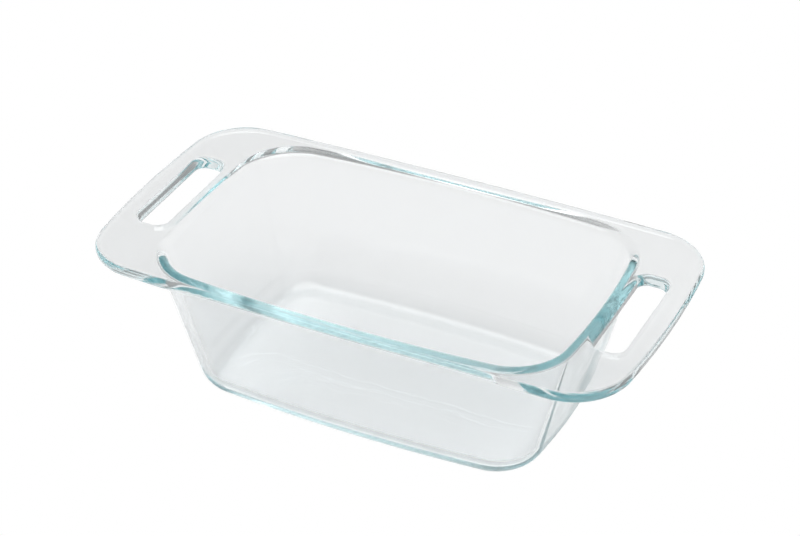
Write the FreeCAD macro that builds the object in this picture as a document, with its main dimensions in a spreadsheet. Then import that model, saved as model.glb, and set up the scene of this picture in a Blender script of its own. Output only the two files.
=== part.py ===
import FreeCAD, Part
import math
import os

import Sketcher

# Pressed glass loaf dish: one piece of clear glass. Millimetres, +Z up.
# Origin: centre of the flat base. X runs along the dish, Y across it.

DIMENSIONS = {
    # rim flange, with the two handles at its ends
    "rim_length": 286.0,
    "rim_width": 149.6,
    "rim_corner_radius": 30.5,
    "rim_end_bow_degrees": 5.2,
    "rim_side_bow_degrees": 2.0,
    "rim_thickness": 5.5,
    "rim_nose_radius": 2.6,
    "dish_height": 78.5,
    # half the angle each bowed side turns through, the same at the top and the foot of every wall
    "wall_end_bow_degrees": 5.5,
    "wall_side_bow_degrees": 4.7,
    # outside of the walls, where they meet the underside of the rim
    "wall_length": 221.0,
    "wall_width": 140.0,
    "wall_corner_radius": 31.0,
    "underside_fillet_radius": 3.0,
    # outside of the base, before its edge is rounded
    "base_length": 184.8,
    "base_width": 113.4,
    "base_corner_radius": 24.5,
    "base_edge_radius": 13.0,
    # the opening in the rim, before its edge is rounded
    "opening_length": 215.0,
    "opening_width": 132.0,
    "opening_corner_radius": 28.0,
    "opening_edge_radius": 5.0,
    # the inside of the floor, before its edge is rounded
    "floor_length": 177.8,
    "floor_width": 105.8,
    "floor_corner_radius": 20.0,
    "floor_edge_radius": 11.0,
    "floor_thickness": 5.0,
    # hand slots, one through each handle, drawn on the top face of the rim
    "slot_centre": 122.3,
    "slot_width": 17.5,
    "slot_length": 65.0,
    "slot_corner_radius": 6.5,
    "slot_draft_degrees": 20.0,
    "slot_top_edge_radius": 2.8,
    "slot_bottom_edge_radius": 1.0,
}

HEIGHT_TOLERANCE = 0.01
PARTS_FOLDER = "parts"


def make_sheet(doc):
    """The spreadsheet of driving dimensions: names in column A, values in column B."""
    sheet = doc.addObject("Spreadsheet::Sheet", "dimensions")
    for row, (name, value) in enumerate(DIMENSIONS.items(), start=1):
        sheet.set(f"A{row}", name)
        sheet.set(f"B{row}", str(value))
        sheet.setAlias(f"B{row}", name)
    doc.recompute()
    return sheet


def origin_plane(body, role):
    for feature in body.Origin.OriginFeatures:
        if feature.Role == role:
            return feature
    raise RuntimeError(f"{body.Label} has no {role}")


def level_sketch(body, name, height_formula):
    """An empty sketch parallel to the base, at a height above it."""
    sketch = body.newObject("Sketcher::SketchObject", name)
    sketch.AttachmentSupport = [(origin_plane(body, "XY_Plane"), "")]
    sketch.MapMode = "FlatFace"
    sketch.setExpression("AttachmentOffset.Base.z", height_formula)
    return sketch


def arc(centre, radius, start, end):
    """A counter-clockwise arc about centre, from the point start to the point end."""
    first = math.atan2(start.y - centre.y, start.x - centre.x)
    last = math.atan2(end.y - centre.y, end.x - centre.x)
    circle = Part.Circle(centre, FreeCAD.Vector(0, 0, 1), radius)
    return Part.ArcOfCircle(circle, first, last)


def bow_radii(half_length, half_width, corner, end_angle, side_angle):
    """Radii of the end bow and the side bow that run smoothly into the corner arcs."""
    long_side = half_length - corner
    short_side = half_width - corner
    end_rise = 1 - math.cos(end_angle)
    side_rise = 1 - math.cos(side_angle)
    scale = math.sin(side_angle) * math.sin(end_angle) - end_rise * side_rise
    end_bow = corner + (short_side * math.sin(side_angle) - long_side * side_rise) / scale
    side_bow = corner + (long_side * math.sin(end_angle) - short_side * end_rise) / scale
    return end_bow, side_bow


def mirrored(point, across_x, across_y):
    return FreeCAD.Vector(point.x * across_x, point.y * across_y, 0)


def bowed_rectangle(body, name, prefix, bow_prefix, height_formula):
    """A rounded rectangle with bowed sides, drawn as eight tangent arcs."""
    half_length = DIMENSIONS[f"{prefix}_length"] / 2
    half_width = DIMENSIONS[f"{prefix}_width"] / 2
    corner = DIMENSIONS[f"{prefix}_corner_radius"]
    end_angle = math.radians(DIMENSIONS[f"{bow_prefix}_end_bow_degrees"])
    side_angle = math.radians(DIMENSIONS[f"{bow_prefix}_side_bow_degrees"])
    end_bow, side_bow = bow_radii(half_length, half_width, corner, end_angle, side_angle)

    vector = FreeCAD.Vector
    toward_end = vector(math.cos(end_angle), math.sin(end_angle), 0)
    toward_side = vector(math.sin(side_angle), math.cos(side_angle), 0)
    end_centre = vector(half_length - end_bow, 0, 0)
    side_centre = vector(0, half_width - side_bow, 0)
    centre = end_centre + toward_end * (end_bow - corner)
    end_point = end_centre + toward_end * end_bow
    side_point = side_centre + toward_side * side_bow

    far_centre = mirrored(centre, -1, 1)
    far_end_point = mirrored(end_point, -1, 1)
    far_side_point = mirrored(side_point, -1, 1)
    arcs = [arc(end_centre, end_bow, mirrored(end_point, 1, -1), end_point)]
    arcs.append(arc(centre, corner, end_point, side_point))
    arcs.append(arc(side_centre, side_bow, side_point, far_side_point))
    arcs.append(arc(far_centre, corner, far_side_point, far_end_point))
    for opposite in arcs[:4]:
        turned = opposite.copy()
        turned.rotate(FreeCAD.Placement(vector(0, 0, 0), vector(0, 0, 1), 180))
        arcs.append(turned)

    sketch = level_sketch(body, name, height_formula)
    sketch.addGeometry(arcs, False)
    sketch.addGeometry(Part.Point(vector(half_length, 0, 0)), True)
    sketch.addGeometry(Part.Point(vector(0, half_width, 0)), True)
    constrain_bowed_rectangle(sketch, prefix, bow_prefix)
    return sketch


def constrain_bowed_rectangle(sketch, prefix, bow_prefix):
    right, corner, back, left, front = 0, 1, 2, 4, 6
    end_tip, side_tip = 8, 9
    x_axis, y_axis = -1, -2
    for index in range(8):
        sketch.addConstraint(Sketcher.Constraint("Tangent", index, 2, (index + 1) % 8, 1))
    sketch.addConstraint(Sketcher.Constraint("PointOnObject", right, 3, x_axis))
    sketch.addConstraint(Sketcher.Constraint("Symmetric", right, 3, left, 3, y_axis))
    sketch.addConstraint(Sketcher.Constraint("PointOnObject", back, 3, y_axis))
    sketch.addConstraint(Sketcher.Constraint("Symmetric", back, 3, front, 3, x_axis))
    for one, other in ((corner, 3), (corner, 5), (corner, 7), (right, left), (back, front)):
        sketch.addConstraint(Sketcher.Constraint("Equal", one, other))
    for tip, side, axis in ((end_tip, right, x_axis), (side_tip, back, y_axis)):
        sketch.addConstraint(Sketcher.Constraint("PointOnObject", tip, 1, side))
        sketch.addConstraint(Sketcher.Constraint("PointOnObject", tip, 1, axis))
    drive(sketch, "corner", "Radius", (corner,), f"dimensions.{prefix}_corner_radius")
    drive(sketch, "end_bow", "Angle", (right,), f"2 * dimensions.{bow_prefix}_end_bow_degrees")
    drive(sketch, "side_bow", "Angle", (back,), f"2 * dimensions.{bow_prefix}_side_bow_degrees")
    drive(sketch, "half_length", "DistanceX", (x_axis, 1, end_tip, 1), f"dimensions.{prefix}_length / 2")
    drive(sketch, "half_width", "DistanceY", (x_axis, 1, side_tip, 1), f"dimensions.{prefix}_width / 2")


def drive(sketch, name, kind, where, formula):
    """Add a named dimension to a sketch and bind it to a formula over the spreadsheet."""
    index = sketch.addConstraint(Sketcher.Constraint(kind, *where, measured(sketch, kind, where)))
    sketch.renameConstraint(index, name)
    sketch.setExpression(f"Constraints.{name}", formula)


def measured(sketch, kind, where):
    """The present value of a dimension, so that adding it leaves the sketch as drawn."""
    if kind == "Radius":
        return sketch.Geometry[where[0]].Radius
    if kind == "Angle":
        turned = sketch.Geometry[where[0]]
        return turned.LastParameter - turned.FirstParameter
    across = sketch.getPoint(*where[2:]) - sketch.getPoint(*where[:2])
    return across.x if kind == "DistanceX" else across.y


def slot_outline(body):
    """The hand slot in the +X handle, a rounded rectangle on the top face of the rim."""
    sketch = level_sketch(body, "slot_outline", "dimensions.dish_height")
    low_x = DIMENSIONS["slot_centre"] - DIMENSIONS["slot_width"] / 2
    high_x = DIMENSIONS["slot_centre"] + DIMENSIONS["slot_width"] / 2
    high_y = DIMENSIONS["slot_length"] / 2
    radius = DIMENSIONS["slot_corner_radius"]
    vector = FreeCAD.Vector
    corners = [
        (vector(high_x - radius, high_y - radius, 0), 0),
        (vector(low_x + radius, high_y - radius, 0), 90),
        (vector(low_x + radius, radius - high_y, 0), 180),
        (vector(high_x - radius, radius - high_y, 0), 270),
    ]
    arcs = []
    for centre, degrees in corners:
        circle = Part.Circle(centre, vector(0, 0, 1), radius)
        arcs.append(Part.ArcOfCircle(circle, math.radians(degrees), math.radians(degrees + 90)))
    for index, corner_arc in enumerate(arcs):
        following = arcs[(index + 1) % 4]
        sketch.addGeometry(corner_arc, False)
        sketch.addGeometry(Part.LineSegment(corner_arc.EndPoint, following.StartPoint), False)
    constrain_slot(sketch)
    return sketch


def constrain_slot(sketch):
    top_side, inner_side, bottom_side, outer_side = 1, 3, 5, 7
    for index in range(8):
        sketch.addConstraint(Sketcher.Constraint("Tangent", index, 2, (index + 1) % 8, 1))
    for side in (top_side, bottom_side):
        sketch.addConstraint(Sketcher.Constraint("Horizontal", side))
    sketch.addConstraint(Sketcher.Constraint("Vertical", outer_side))
    for other in (2, 4, 6):
        sketch.addConstraint(Sketcher.Constraint("Equal", 0, other))
    sketch.addConstraint(Sketcher.Constraint("Symmetric", inner_side, 1, inner_side, 2, -1))
    drive(sketch, "corner", "Radius", (0,), "dimensions.slot_corner_radius")
    drive(sketch, "length", "DistanceY", (bottom_side, 1, top_side, 1), "dimensions.slot_length")
    drive(sketch, "width", "DistanceX", (inner_side, 1, outer_side, 1), "dimensions.slot_width")
    inner_formula = "dimensions.slot_centre - dimensions.slot_width / 2"
    drive(sketch, "inner", "DistanceX", (-1, 1, inner_side, 1), inner_formula)


def pad(body, name, sketch, length_formula):
    feature = body.newObject("PartDesign::Pad", name)
    feature.Profile = sketch
    feature.setExpression("Length", length_formula)
    body.Document.recompute()
    return feature


def loft(body, kind, name, lower, upper):
    """A straight-sided loft from the lower sketch to the upper one, added to the body or cut from it."""
    feature = body.newObject(f"PartDesign::{kind}Loft", name)
    feature.Profile = lower
    feature.Sections = [upper]
    feature.Ruled = True
    body.Document.recompute()
    return feature


def level_edges(feature, height, inner, outer):
    """Names of the flat edges at a height that reach beyond the inner box but stay within the outer box."""
    names = []
    for index, edge in enumerate(feature.Shape.Edges, start=1):
        box = edge.BoundBox
        if abs(box.ZMin - height) > HEIGHT_TOLERANCE or abs(box.ZMax - height) > HEIGHT_TOLERANCE:
            continue
        reach_x = max(abs(box.XMin), abs(box.XMax))
        reach_y = max(abs(box.YMin), abs(box.YMax))
        beyond = reach_x > inner[0] or reach_y > inner[1]
        within = reach_x < outer[0] and reach_y < outer[1]
        if beyond and within:
            names.append(f"Edge{index}")
    return names


def fillet(body, name, base, edges, radius_cell):
    if not edges:
        raise RuntimeError(f"{name} has no edges to round")
    feature = body.newObject("PartDesign::Fillet", name)
    feature.Base = (base, edges)
    feature.setExpression("Radius", f"dimensions.{radius_cell}")
    body.Document.recompute()
    return feature


def hand_slots(body, solid_rim):
    """Both hand slots: a drafted pocket through the +X handle and its mirror image at the other end."""
    outline = slot_outline(body)
    pocket = body.newObject("PartDesign::Pocket", "hand_slot")
    pocket.Profile = outline
    pocket.setExpression("Length", "dimensions.rim_thickness * 1.5")
    pocket.setExpression("TaperAngle", "-dimensions.slot_draft_degrees")
    body.Document.recompute()
    mirror = body.newObject("PartDesign::Mirrored", "both_hand_slots")
    mirror.Originals = [pocket]
    mirror.MirrorPlane = (origin_plane(body, "YZ_Plane"), [""])
    body.Tip = mirror
    body.Document.recompute()
    removed = solid_rim.Shape.Volume - mirror.Shape.Volume
    straight = 2 * Part.Face(outline.Shape.Wires[0]).Area * DIMENSIONS["rim_thickness"]
    print(f"slots remove {removed:.0f} mm3, straight slots would remove {straight:.0f} mm3")
    if not 0.6 * straight < removed < straight:
        raise RuntimeError("the hand slots do not go through the rim")
    return mirror


def build_dish(doc):
    body = doc.addObject("PartDesign::Body", "loaf_dish")
    body.Label = "loaf_dish"
    doc.recompute()
    under_formula = "dimensions.dish_height - dimensions.rim_thickness"
    nothing = (0, 0)
    everything = (DIMENSIONS["rim_length"], DIMENSIONS["rim_width"])

    rim_outline = bowed_rectangle(body, "rim_outline", "rim", "rim", under_formula)
    pad(body, "rim", rim_outline, "dimensions.rim_thickness")

    base_outline = bowed_rectangle(body, "base_outline", "base", "wall", "0 mm")
    wall_outline = bowed_rectangle(body, "wall_outline", "wall", "wall", under_formula)
    walls = loft(body, "Additive", "walls", base_outline, wall_outline)
    base_edges = level_edges(walls, 0, nothing, everything)
    fillet(body, "base_edge", walls, base_edges, "base_edge_radius")

    floor_outline = bowed_rectangle(body, "floor_outline", "floor", "wall", "dimensions.floor_thickness")
    opening_outline = bowed_rectangle(body, "opening_outline", "opening", "wall", "dimensions.dish_height")
    cavity = loft(body, "Subtractive", "cavity", floor_outline, opening_outline)
    floor_edges = level_edges(cavity, DIMENSIONS["floor_thickness"], nothing, everything)
    floor_edge = fillet(body, "floor_edge", cavity, floor_edges, "floor_edge_radius")

    slots = hand_slots(body, floor_edge)
    round_rim(body, slots)
    return body


def round_rim(body, feature):
    """Round every edge of the rim: the opening, the slots, the outside nose and the fillet under it."""
    top = DIMENSIONS["dish_height"]
    under = top - DIMENSIONS["rim_thickness"]
    nothing = (0, 0)
    everything = (DIMENSIONS["rim_length"], DIMENSIONS["rim_width"])
    opening = (DIMENSIONS["opening_length"] / 2 + 1, DIMENSIONS["opening_width"] / 2 + 1)
    wall = (DIMENSIONS["wall_length"] / 2 + 1, DIMENSIONS["wall_width"] / 2 + 1)
    slot_reach = DIMENSIONS["slot_centre"] + DIMENSIONS["slot_width"] / 2 + 1
    slots = (slot_reach, DIMENSIONS["slot_length"] / 2 + 1)
    steps = [
        ("underside_fillet", under, nothing, wall, "underside_fillet_radius"),
        ("opening_edge", top, nothing, opening, "opening_edge_radius"),
        ("slot_top_edge", top, opening, slots, "slot_top_edge_radius"),
        ("slot_bottom_edge", under, wall, slots, "slot_bottom_edge_radius"),
        ("rim_top_edge", top, slots, everything, "rim_nose_radius"),
        ("rim_bottom_edge", under, slots, everything, "rim_nose_radius"),
    ]
    for name, height, inner, outer, radius_cell in steps:
        edges = level_edges(feature, height, inner, outer)
        feature = fillet(body, name, feature, edges, radius_cell)


def check_document(doc):
    for item in doc.Objects:
        if "Invalid" in item.State or "Error" in item.State:
            raise RuntimeError(f"{item.Name} failed: {item.State}")


def write_part(body):
    shape = body.Shape
    if shape.isNull() or not shape.isValid():
        raise RuntimeError(f"{body.Label} has no valid shape")
    path = os.path.join(PARTS_FOLDER, f"{body.Label}.step")
    shape.exportStep(path)
    box = shape.BoundBox
    print(f"{body.Label}: {len(shape.Solids)} solid, {shape.Volume / 1000:.1f} cm3, "
          f"{box.XLength:.1f} x {box.YLength:.1f} x {box.ZLength:.1f} mm")


def main():
    doc = FreeCAD.newDocument("loaf_dish")
    make_sheet(doc)
    dish = build_dish(doc)
    doc.recompute()
    check_document(doc)
    os.makedirs(PARTS_FOLDER, exist_ok=True)
    write_part(dish)


main()
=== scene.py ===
import math

import bpy
import numpy as np
from mathutils import Matrix, Vector
from mathutils.geometry import tessellate_polygon


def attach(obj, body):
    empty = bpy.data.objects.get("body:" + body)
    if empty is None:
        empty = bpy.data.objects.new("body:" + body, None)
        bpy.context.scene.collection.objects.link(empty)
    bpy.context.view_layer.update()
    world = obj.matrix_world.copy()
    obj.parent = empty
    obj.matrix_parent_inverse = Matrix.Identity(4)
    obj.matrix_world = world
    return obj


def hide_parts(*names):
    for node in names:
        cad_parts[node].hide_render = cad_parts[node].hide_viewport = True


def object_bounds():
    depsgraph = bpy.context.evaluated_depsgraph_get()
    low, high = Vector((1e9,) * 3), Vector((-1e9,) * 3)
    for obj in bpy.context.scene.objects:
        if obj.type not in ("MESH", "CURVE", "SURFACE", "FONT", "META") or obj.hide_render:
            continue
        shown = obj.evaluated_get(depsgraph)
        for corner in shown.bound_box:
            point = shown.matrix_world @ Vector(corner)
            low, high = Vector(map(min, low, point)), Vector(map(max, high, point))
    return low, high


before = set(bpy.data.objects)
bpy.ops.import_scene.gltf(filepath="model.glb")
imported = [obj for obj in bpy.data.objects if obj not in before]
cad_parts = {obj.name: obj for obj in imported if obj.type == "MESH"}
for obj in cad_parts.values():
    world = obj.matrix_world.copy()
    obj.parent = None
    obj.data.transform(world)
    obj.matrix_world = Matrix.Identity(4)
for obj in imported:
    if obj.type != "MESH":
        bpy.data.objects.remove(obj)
cad_low, cad_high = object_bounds()

# Camera, at the photograph's viewing angle. Angles in degrees, lengths in metres.
CAMERA_AZIMUTH = 26.92
CAMERA_ELEVATION = 34.33
CAMERA_ROLL = -0.60
CAMERA_DISTANCE = 1.1558
CAMERA_LENS_MM = 108.1
CAMERA_SENSOR_MM = 36
CAMERA_TARGET = (0.0085, -0.0140, 0.0785)

# The dish, in metres, the same figures as the solid's, but for the fillet under the rim, which is half a
# millimetre smaller so that it ends short of the nose. An outline is (length, width, corner radius).
LENGTH, WIDTH, HEIGHT = (high - low for low, high in zip(cad_low, cad_high))
RIM = (LENGTH, WIDTH, 0.0305)
WALL = (0.2210, 0.1400, 0.0310)
BASE = (0.1848, 0.1134, 0.0245)
OPENING = (0.2150, 0.1320, 0.0280)
FLOOR = (0.1778, 0.1058, 0.0200)
SLOT = (0.0175, 0.0650, 0.0065)
SLOT_CENTRE = 0.1223
RIM_THICKNESS = 0.0055
FLOOR_THICKNESS = 0.0050
RIM_EDGE = 0.0026
UNDERSIDE_FILLET = 0.0025
BASE_EDGE = 0.0130
OPENING_EDGE = 0.0050
FLOOR_EDGE = 0.0110
SLOT_TOP_EDGE = 0.0028
SLOT_BOTTOM_EDGE = 0.0010
# Half the angle that the ends and the sides of an outline turn through, in degrees.
RIM_BOWS = (5.2, 2.0)
WALL_BOWS = (5.5, 4.7)
SLOT_DRAFT = 20.0

# How finely the arcs of an outline and the rounded edges are divided.
END_STEPS, CORNER_STEPS, SIDE_STEPS = 18, 32, 36
SLOT_CORNER_STEPS = 14
EDGE_STEPS = 10
WALL_STEPS = 8

# Waves in the pressed surface: length and height in metres, and the noise's detail.
SURFACE_WAVES = ((0.045, 0.00020, 1), (0.012, 0.00002, 2))

# Glass: the tint of each surface, partly the glass's own faint tint and partly painted shade, a grey
# darkening that stands in for the dish's shadow on the floor seen through it, and the colour and density of
# what the inside lets through.
GLASS_TINT_AND_PAINTED_SHADE = (0.938, 0.943, 0.947, 1)
INSIDE_TINT = (0.17, 0.75, 0.81, 1)
INSIDE_DENSITY = 2.5
REFRACTIVE_INDEX = 1.5
LIGHT_BOUNCES = 64

# The floor: half its side and its height, in metres, and how much light it sends back.
FLOOR_REACH = 6
FLOOR_LEVEL = -0.0003
FLOOR_SHADE = 0.9

# Light: the elevations, in degrees, between which the room brightens into the light overhead, and how
# bright the room is away from BRIGHT_SIDE and towards it. ROOM_FADE is the change, as a cosine.
LIGHT_FADE = (60, 72)
OVERHEAD_LIGHT = 3.2
ROOM_LIGHT = (0.27, 0.96)
ROOM_FADE = (-0.45, 0.6)
BRIGHT_SIDE = (0.891, 0.453, 0)
WHITE = (1, 1, 1, 1)


def bow_radii(long_side, short_side, corner, end_angle, side_angle):
    """Radii of the end bow and the side bow that run smoothly into the corner arcs."""
    end_rise, side_rise = 1 - math.cos(end_angle), 1 - math.cos(side_angle)
    scale = math.sin(side_angle) * math.sin(end_angle) - end_rise * side_rise
    end_bow = corner + (short_side * math.sin(side_angle) - long_side * side_rise) / scale
    side_bow = corner + (long_side * math.sin(end_angle) - short_side * end_rise) / scale
    return end_bow, side_bow


def swept(centre, radius, directions):
    return np.array(centre) + radius * directions


def bowed_outline(size, bows):
    """Points round a rounded rectangle with bowed sides, and the outward direction at each."""
    length, width, corner = size
    end_angle, side_angle = (math.radians(bow) for bow in bows)
    end_bow, side_bow = bow_radii(length / 2 - corner, width / 2 - corner, corner, end_angle, side_angle)
    end_centre = (length / 2 - end_bow, 0)
    side_centre = (0, width / 2 - side_bow)
    inset = end_bow - corner
    corner_centre = (end_centre[0] + inset * math.cos(end_angle), inset * math.sin(end_angle))
    spans = [
        (end_centre, end_bow, 0, end_angle, END_STEPS),
        (corner_centre, corner, end_angle, math.pi / 2 - side_angle, CORNER_STEPS),
        (side_centre, side_bow, math.pi / 2 - side_angle, math.pi / 2, SIDE_STEPS),
    ]
    points, outward = [], []
    for centre, radius, first, last, steps in spans:
        angles = np.linspace(first, last, steps, endpoint=False)
        directions = np.column_stack([np.cos(angles), np.sin(angles)])
        points.append(swept(centre, radius, directions))
        outward.append(directions)
    points.append([[0, width / 2]])
    outward.append([[0, 1]])
    return all_round(np.vstack(points)), all_round(np.vstack(outward))


def all_round(quarter):
    """The whole loop, counter-clockwise, from the quarter between the +X and the +Y axis."""
    half = np.vstack([quarter, (quarter * [-1, 1])[-2::-1]])
    return np.vstack([half, (half * [1, -1])[-2:0:-1]])


def slot_outline(end, grow):
    """The hand slot at the +X or -X end, counter-clockwise, pushed outwards by grow."""
    width, length, corner = SLOT
    reach = np.array([width / 2 - corner, length / 2 - corner])
    points, outward = [], []
    for turn, sides in enumerate(((1, 1), (-1, 1), (-1, -1), (1, -1))):
        angles = np.radians(np.linspace(turn * 90, turn * 90 + 90, SLOT_CORNER_STEPS))
        directions = np.column_stack([np.cos(angles), np.sin(angles)])
        centre = reach * sides + [end * SLOT_CENTRE, 0]
        points.append(swept(centre, corner + grow, directions))
        outward.append(directions)
    return np.vstack(points), np.vstack(outward)


class Wall:
    """A straight-sided wall between two outlines whose points face the same way, index for index."""

    def __init__(self, lower, upper, lower_height, upper_height):
        self.foot, self.outward = lower
        self.foot_height = lower_height
        self.rise = (upper[0] - self.foot) / (upper_height - lower_height)
        self.lean = np.arctan((self.rise * self.outward).sum(axis=1))

    def at(self, heights):
        across = self.foot + self.rise * (heights - self.foot_height)[:, None]
        return np.column_stack([across, heights])

    def facing(self, angle):
        """Unit vectors at an angle above the level, in the upright plane of each outward direction."""
        return np.column_stack([self.outward * np.cos(angle)[:, None], np.sin(angle)])

    def rounded(self, plane, radius, ball_outside, ball_above):
        """The rounded edge between this wall and a level plane, from the wall to the plane.

        Returns (points, directions away from the centre of the rolling ball) for each ring.
        """
        side = 1 if ball_outside else -1
        up = 1 if ball_above else -1
        centre_height = plane + up * radius
        touch = self.at(centre_height + side * radius * np.sin(self.lean))
        centre = touch + side * radius * self.facing(-self.lean)
        first = math.pi - self.lean if ball_outside else -self.lean
        last = -up * math.pi / 2 + (2 * math.pi if ball_outside and ball_above else 0)
        rings = []
        for part in np.linspace(0, 1, EDGE_STEPS + 1):
            direction = self.facing(first + (last - first) * part)
            rings.append((centre + radius * direction, direction))
        return rings

    def between(self, lower_ring, upper_ring):
        """Rings of the flat of the wall, strictly between two of its rings."""
        normal = self.facing(-self.lean)
        rings = []
        for part in np.linspace(0, 1, WALL_STEPS + 1)[1:-1]:
            rings.append((lower_ring * (1 - part) + upper_ring * part, normal))
        return rings


class Skin:
    """The dish's surface, gathered ring by ring. Every ring is counter-clockwise seen from above."""

    def __init__(self):
        self.points, self.normals, self.faces = [], [], []
        self.count = 0

    def ring(self, points, normals):
        first = self.count
        self.points.append(points)
        self.normals.append(normals)
        self.count += len(points)
        return list(range(first, self.count))

    def strip(self, rings, inwards=False):
        """Quads between rings listed from the bottom up; they face outwards unless told otherwise."""
        loops = [self.ring(*ring) for ring in rings]
        for lower, upper in zip(loops, loops[1:]):
            for i, here in enumerate(lower):
                j = (i + 1) % len(lower)
                face = (here, lower[j], upper[j], upper[i])
                self.faces.append(face[::-1] if inwards else face)
        return loops[0], loops[-1]

    def level(self, loops, upwards):
        """Fill the level area inside the first loop and outside the others."""
        everything = np.vstack(self.points)
        index = [i for loop in loops for i in loop]
        outlines = [[Vector(everything[i]) for i in loop] for loop in loops]
        for triangle in tessellate_polygon(outlines):
            face = [index[i] for i in triangle]
            a, b, c = (everything[i][:2] for i in face)
            area = (b[0] - a[0]) * (c[1] - a[1]) - (b[1] - a[1]) * (c[0] - a[0])
            if (area > 0) != upwards:
                face.reverse()
            self.faces.append(tuple(face))

    def mesh(self, name):
        mesh = bpy.data.meshes.new(name)
        mesh.from_pydata(np.vstack(self.points).tolist(), [], self.faces)
        mesh.validate()
        mesh.normals_split_custom_set_from_vertices(np.vstack(self.normals).tolist())
        return mesh


def turned(rings):
    return [(points, -normals) for points, normals in rings]


def outer_rings():
    """From the base up the outside of the walls to the underside of the rim."""
    under = HEIGHT - RIM_THICKNESS
    wall = Wall(bowed_outline(BASE, WALL_BOWS), bowed_outline(WALL, WALL_BOWS), 0, under)
    foot = wall.rounded(0, BASE_EDGE, ball_outside=False, ball_above=True)[::-1]
    head = turned(wall.rounded(under, UNDERSIDE_FILLET, ball_outside=True, ball_above=False))
    return foot + wall.between(foot[-1][0], head[0][0]) + head


def rim_rings():
    """Round the nose of the rim, from its underside to its top face."""
    outline = bowed_outline(RIM, RIM_BOWS)
    side = Wall(outline, outline, 0, 1)
    lower = side.rounded(HEIGHT - RIM_THICKNESS, RIM_EDGE, ball_outside=False, ball_above=True)
    upper = side.rounded(HEIGHT, RIM_EDGE, ball_outside=False, ball_above=False)
    return lower[::-1] + upper


def inner_rings():
    """From the floor of the cavity up the inside of the walls and over the edge of the opening."""
    wall = Wall(bowed_outline(FLOOR, WALL_BOWS), bowed_outline(OPENING, WALL_BOWS), FLOOR_THICKNESS, HEIGHT)
    foot = turned(wall.rounded(FLOOR_THICKNESS, FLOOR_EDGE, ball_outside=False, ball_above=True)[::-1])
    head = wall.rounded(HEIGHT, OPENING_EDGE, ball_outside=True, ball_above=False)
    return foot + turned(wall.between(foot[-1][0], head[0][0])) + head


def slot_rings(end):
    """From the underside of the rim up through one hand slot to the top face."""
    under = HEIGHT - RIM_THICKNESS
    shrink = RIM_THICKNESS * math.tan(math.radians(SLOT_DRAFT))
    wall = Wall(slot_outline(end, -shrink), slot_outline(end, 0), under, HEIGHT)
    lower = wall.rounded(under, SLOT_BOTTOM_EDGE, ball_outside=True, ball_above=True)[::-1]
    upper = wall.rounded(HEIGHT, SLOT_TOP_EDGE, ball_outside=True, ball_above=False)
    return lower + upper


def dish_mesh():
    skin = Skin()
    foot, under_wall = skin.strip(outer_rings())
    under_rim, over_rim = skin.strip(rim_rings())
    floor, mouth = skin.strip(inner_rings(), inwards=True)
    slots = [skin.strip(slot_rings(end), inwards=True) for end in (1, -1)]
    skin.level([foot], upwards=False)
    skin.level([floor], upwards=True)
    skin.level([under_rim, under_wall, slots[0][0], slots[1][0]], upwards=False)
    skin.level([over_rim, mouth, slots[0][1], slots[1][1]], upwards=True)
    return skin.mesh("dish")


def glass_material():
    """Clear soda-lime glass, teal where light runs along inside it, faintly uneven from the mould."""
    material = bpy.data.materials.new("clear_glass")
    material.use_nodes = True
    nodes, links = material.node_tree.nodes, material.node_tree.links
    shader = nodes["Principled BSDF"]
    # The grey in the surface tint is partly painted shade: it darkens everything seen through the glass in
    # place of the dish's shadow on the floor beneath it.
    shader.inputs["Base Color"].default_value = GLASS_TINT_AND_PAINTED_SHADE
    shader.inputs["Transmission Weight"].default_value = 1
    shader.inputs["Roughness"].default_value = 0.0
    shader.inputs["IOR"].default_value = REFRACTIVE_INDEX
    body = nodes.new("ShaderNodeVolumeAbsorption")
    body.inputs["Color"].default_value = INSIDE_TINT
    body.inputs["Density"].default_value = INSIDE_DENSITY
    links.new(body.outputs["Volume"], nodes["Material Output"].inputs["Volume"])
    links.new(uneven_surface(nodes, links), shader.inputs["Normal"])
    return material


def uneven_surface(nodes, links):
    """Long shallow waves left by pressing, with a finer ripple over them."""
    place = nodes.new("ShaderNodeTexCoord").outputs["Object"]
    normal = None
    for wave_length, height, detail in SURFACE_WAVES:
        waves = nodes.new("ShaderNodeTexNoise")
        waves.inputs["Scale"].default_value = 1 / wave_length
        waves.inputs["Detail"].default_value = detail
        links.new(place, waves.inputs["Vector"])
        bump = nodes.new("ShaderNodeBump")
        bump.inputs["Strength"].default_value = 1
        bump.inputs["Distance"].default_value = height
        links.new(waves.outputs["Fac"], bump.inputs["Height"])
        if normal:
            links.new(normal, bump.inputs["Normal"])
        normal = bump.outputs["Normal"]
    return normal


def place_camera():
    azimuth, elevation = math.radians(CAMERA_AZIMUTH), math.radians(CAMERA_ELEVATION)
    back = Vector((
        math.sin(azimuth) * math.cos(elevation),
        -math.cos(azimuth) * math.cos(elevation),
        math.sin(elevation),
    ))
    right = Vector((math.cos(azimuth), math.sin(azimuth), 0))
    up = back.cross(right)
    turn = Matrix((right, up, back)).transposed() @ Matrix.Rotation(math.radians(CAMERA_ROLL), 3, "Z")
    data = bpy.data.cameras.new("camera")
    data.lens = CAMERA_LENS_MM
    data.sensor_width = CAMERA_SENSOR_MM
    camera = bpy.data.objects.new("camera", data)
    bpy.context.scene.collection.objects.link(camera)
    place = Vector(CAMERA_TARGET) + back * CAMERA_DISTANCE
    camera.matrix_world = Matrix.Translation(place) @ turn.to_4x4()
    bpy.context.scene.camera = camera


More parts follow.
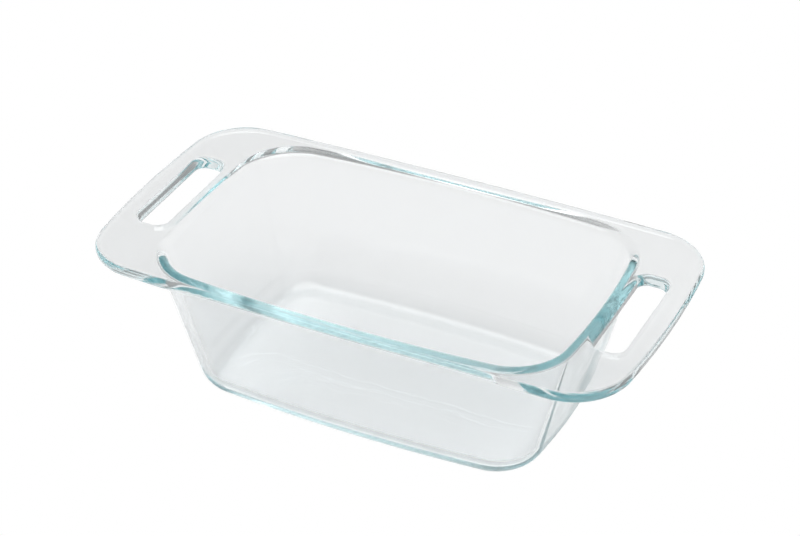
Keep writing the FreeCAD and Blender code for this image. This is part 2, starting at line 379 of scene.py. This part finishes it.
def floor_material():
    """Pale diffuse floor that the camera itself sees as an even white backdrop, without shadows."""
    material = bpy.data.materials.new("floor_white")
    material.use_nodes = True
    nodes, links = material.node_tree.nodes, material.node_tree.links
    surface = nodes["Principled BSDF"]
    surface.inputs["Base Color"].default_value = (FLOOR_SHADE, FLOOR_SHADE, FLOOR_SHADE, 1)
    surface.inputs["Roughness"].default_value = 1.0
    surface.inputs["Specular IOR Level"].default_value = 0.0
    backdrop = nodes.new("ShaderNodeEmission")
    backdrop.inputs["Color"].default_value = WHITE
    ray = nodes.new("ShaderNodeLightPath")
    mix = nodes.new("ShaderNodeMixShader")
    links.new(ray.outputs["Is Camera Ray"], mix.inputs["Fac"])
    links.new(surface.outputs["BSDF"], mix.inputs[1])
    links.new(backdrop.outputs["Emission"], mix.inputs[2])
    links.new(mix.outputs["Shader"], nodes["Material Output"].inputs["Surface"])
    return material


def make_floor():
    mesh = bpy.data.meshes.new("floor")
    sides = ((-1, -1), (1, -1), (1, 1), (-1, 1))
    corners = [(x * FLOOR_REACH, y * FLOOR_REACH, FLOOR_LEVEL) for x, y in sides]
    mesh.from_pydata(corners, [], [(0, 1, 2, 3)])
    mesh.materials.append(floor_material())
    floor = bpy.data.objects.new("floor", mesh)
    bpy.context.scene.collection.objects.link(floor)


def blend(nodes, links, value, between, low, high):
    """A smooth step of a value from low to high; low may be a number or another node's output."""
    step = nodes.new("ShaderNodeMapRange")
    step.interpolation_type = "SMOOTHSTEP"
    step.inputs["From Min"].default_value, step.inputs["From Max"].default_value = between
    step.inputs["To Max"].default_value = high
    links.new(value, step.inputs["Value"])
    if isinstance(low, float):
        step.inputs["To Min"].default_value = low
    else:
        links.new(low, step.inputs["To Min"])
    return step.outputs["Result"]


def light_world():
    """A broad soft light overhead, above a room that is dim on one side and bright on the other."""
    world = bpy.data.worlds.new("world")
    world.use_nodes = True
    nodes, links = world.node_tree.nodes, world.node_tree.links
    direction = nodes.new("ShaderNodeTexCoord").outputs["Generated"]
    parts = nodes.new("ShaderNodeSeparateXYZ")
    links.new(direction, parts.inputs["Vector"])
    sideways = nodes.new("ShaderNodeVectorMath")
    sideways.operation = "DOT_PRODUCT"
    sideways.inputs[1].default_value = BRIGHT_SIDE
    links.new(direction, sideways.inputs[0])
    room = blend(nodes, links, sideways.outputs["Value"], ROOM_FADE, *ROOM_LIGHT)
    heights = [math.sin(math.radians(angle)) for angle in LIGHT_FADE]
    strength = blend(nodes, links, parts.outputs["Z"], heights, room, OVERHEAD_LIGHT)
    links.new(strength, nodes["Background"].inputs["Strength"])
    nodes["Background"].inputs["Color"].default_value = WHITE
    bpy.context.scene.world = world


def set_render_look():
    """True colours, and enough bounces for light that runs along inside the glass."""
    scene = bpy.context.scene
    scene.view_settings.view_transform = "Standard"
    scene.cycles.max_bounces = LIGHT_BOUNCES
    scene.cycles.transmission_bounces = LIGHT_BOUNCES
    scene.cycles.glossy_bounces = LIGHT_BOUNCES
    scene.cycles.blur_glossy = 0


def make_dish():
    dish = bpy.data.objects.new("dish", dish_mesh())
    bpy.context.scene.collection.objects.link(dish)
    dish.data.materials.append(glass_material())
    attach(dish, "root")
    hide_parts("loaf_dish")


make_dish()
place_camera()
make_floor()
light_world()
set_render_look()
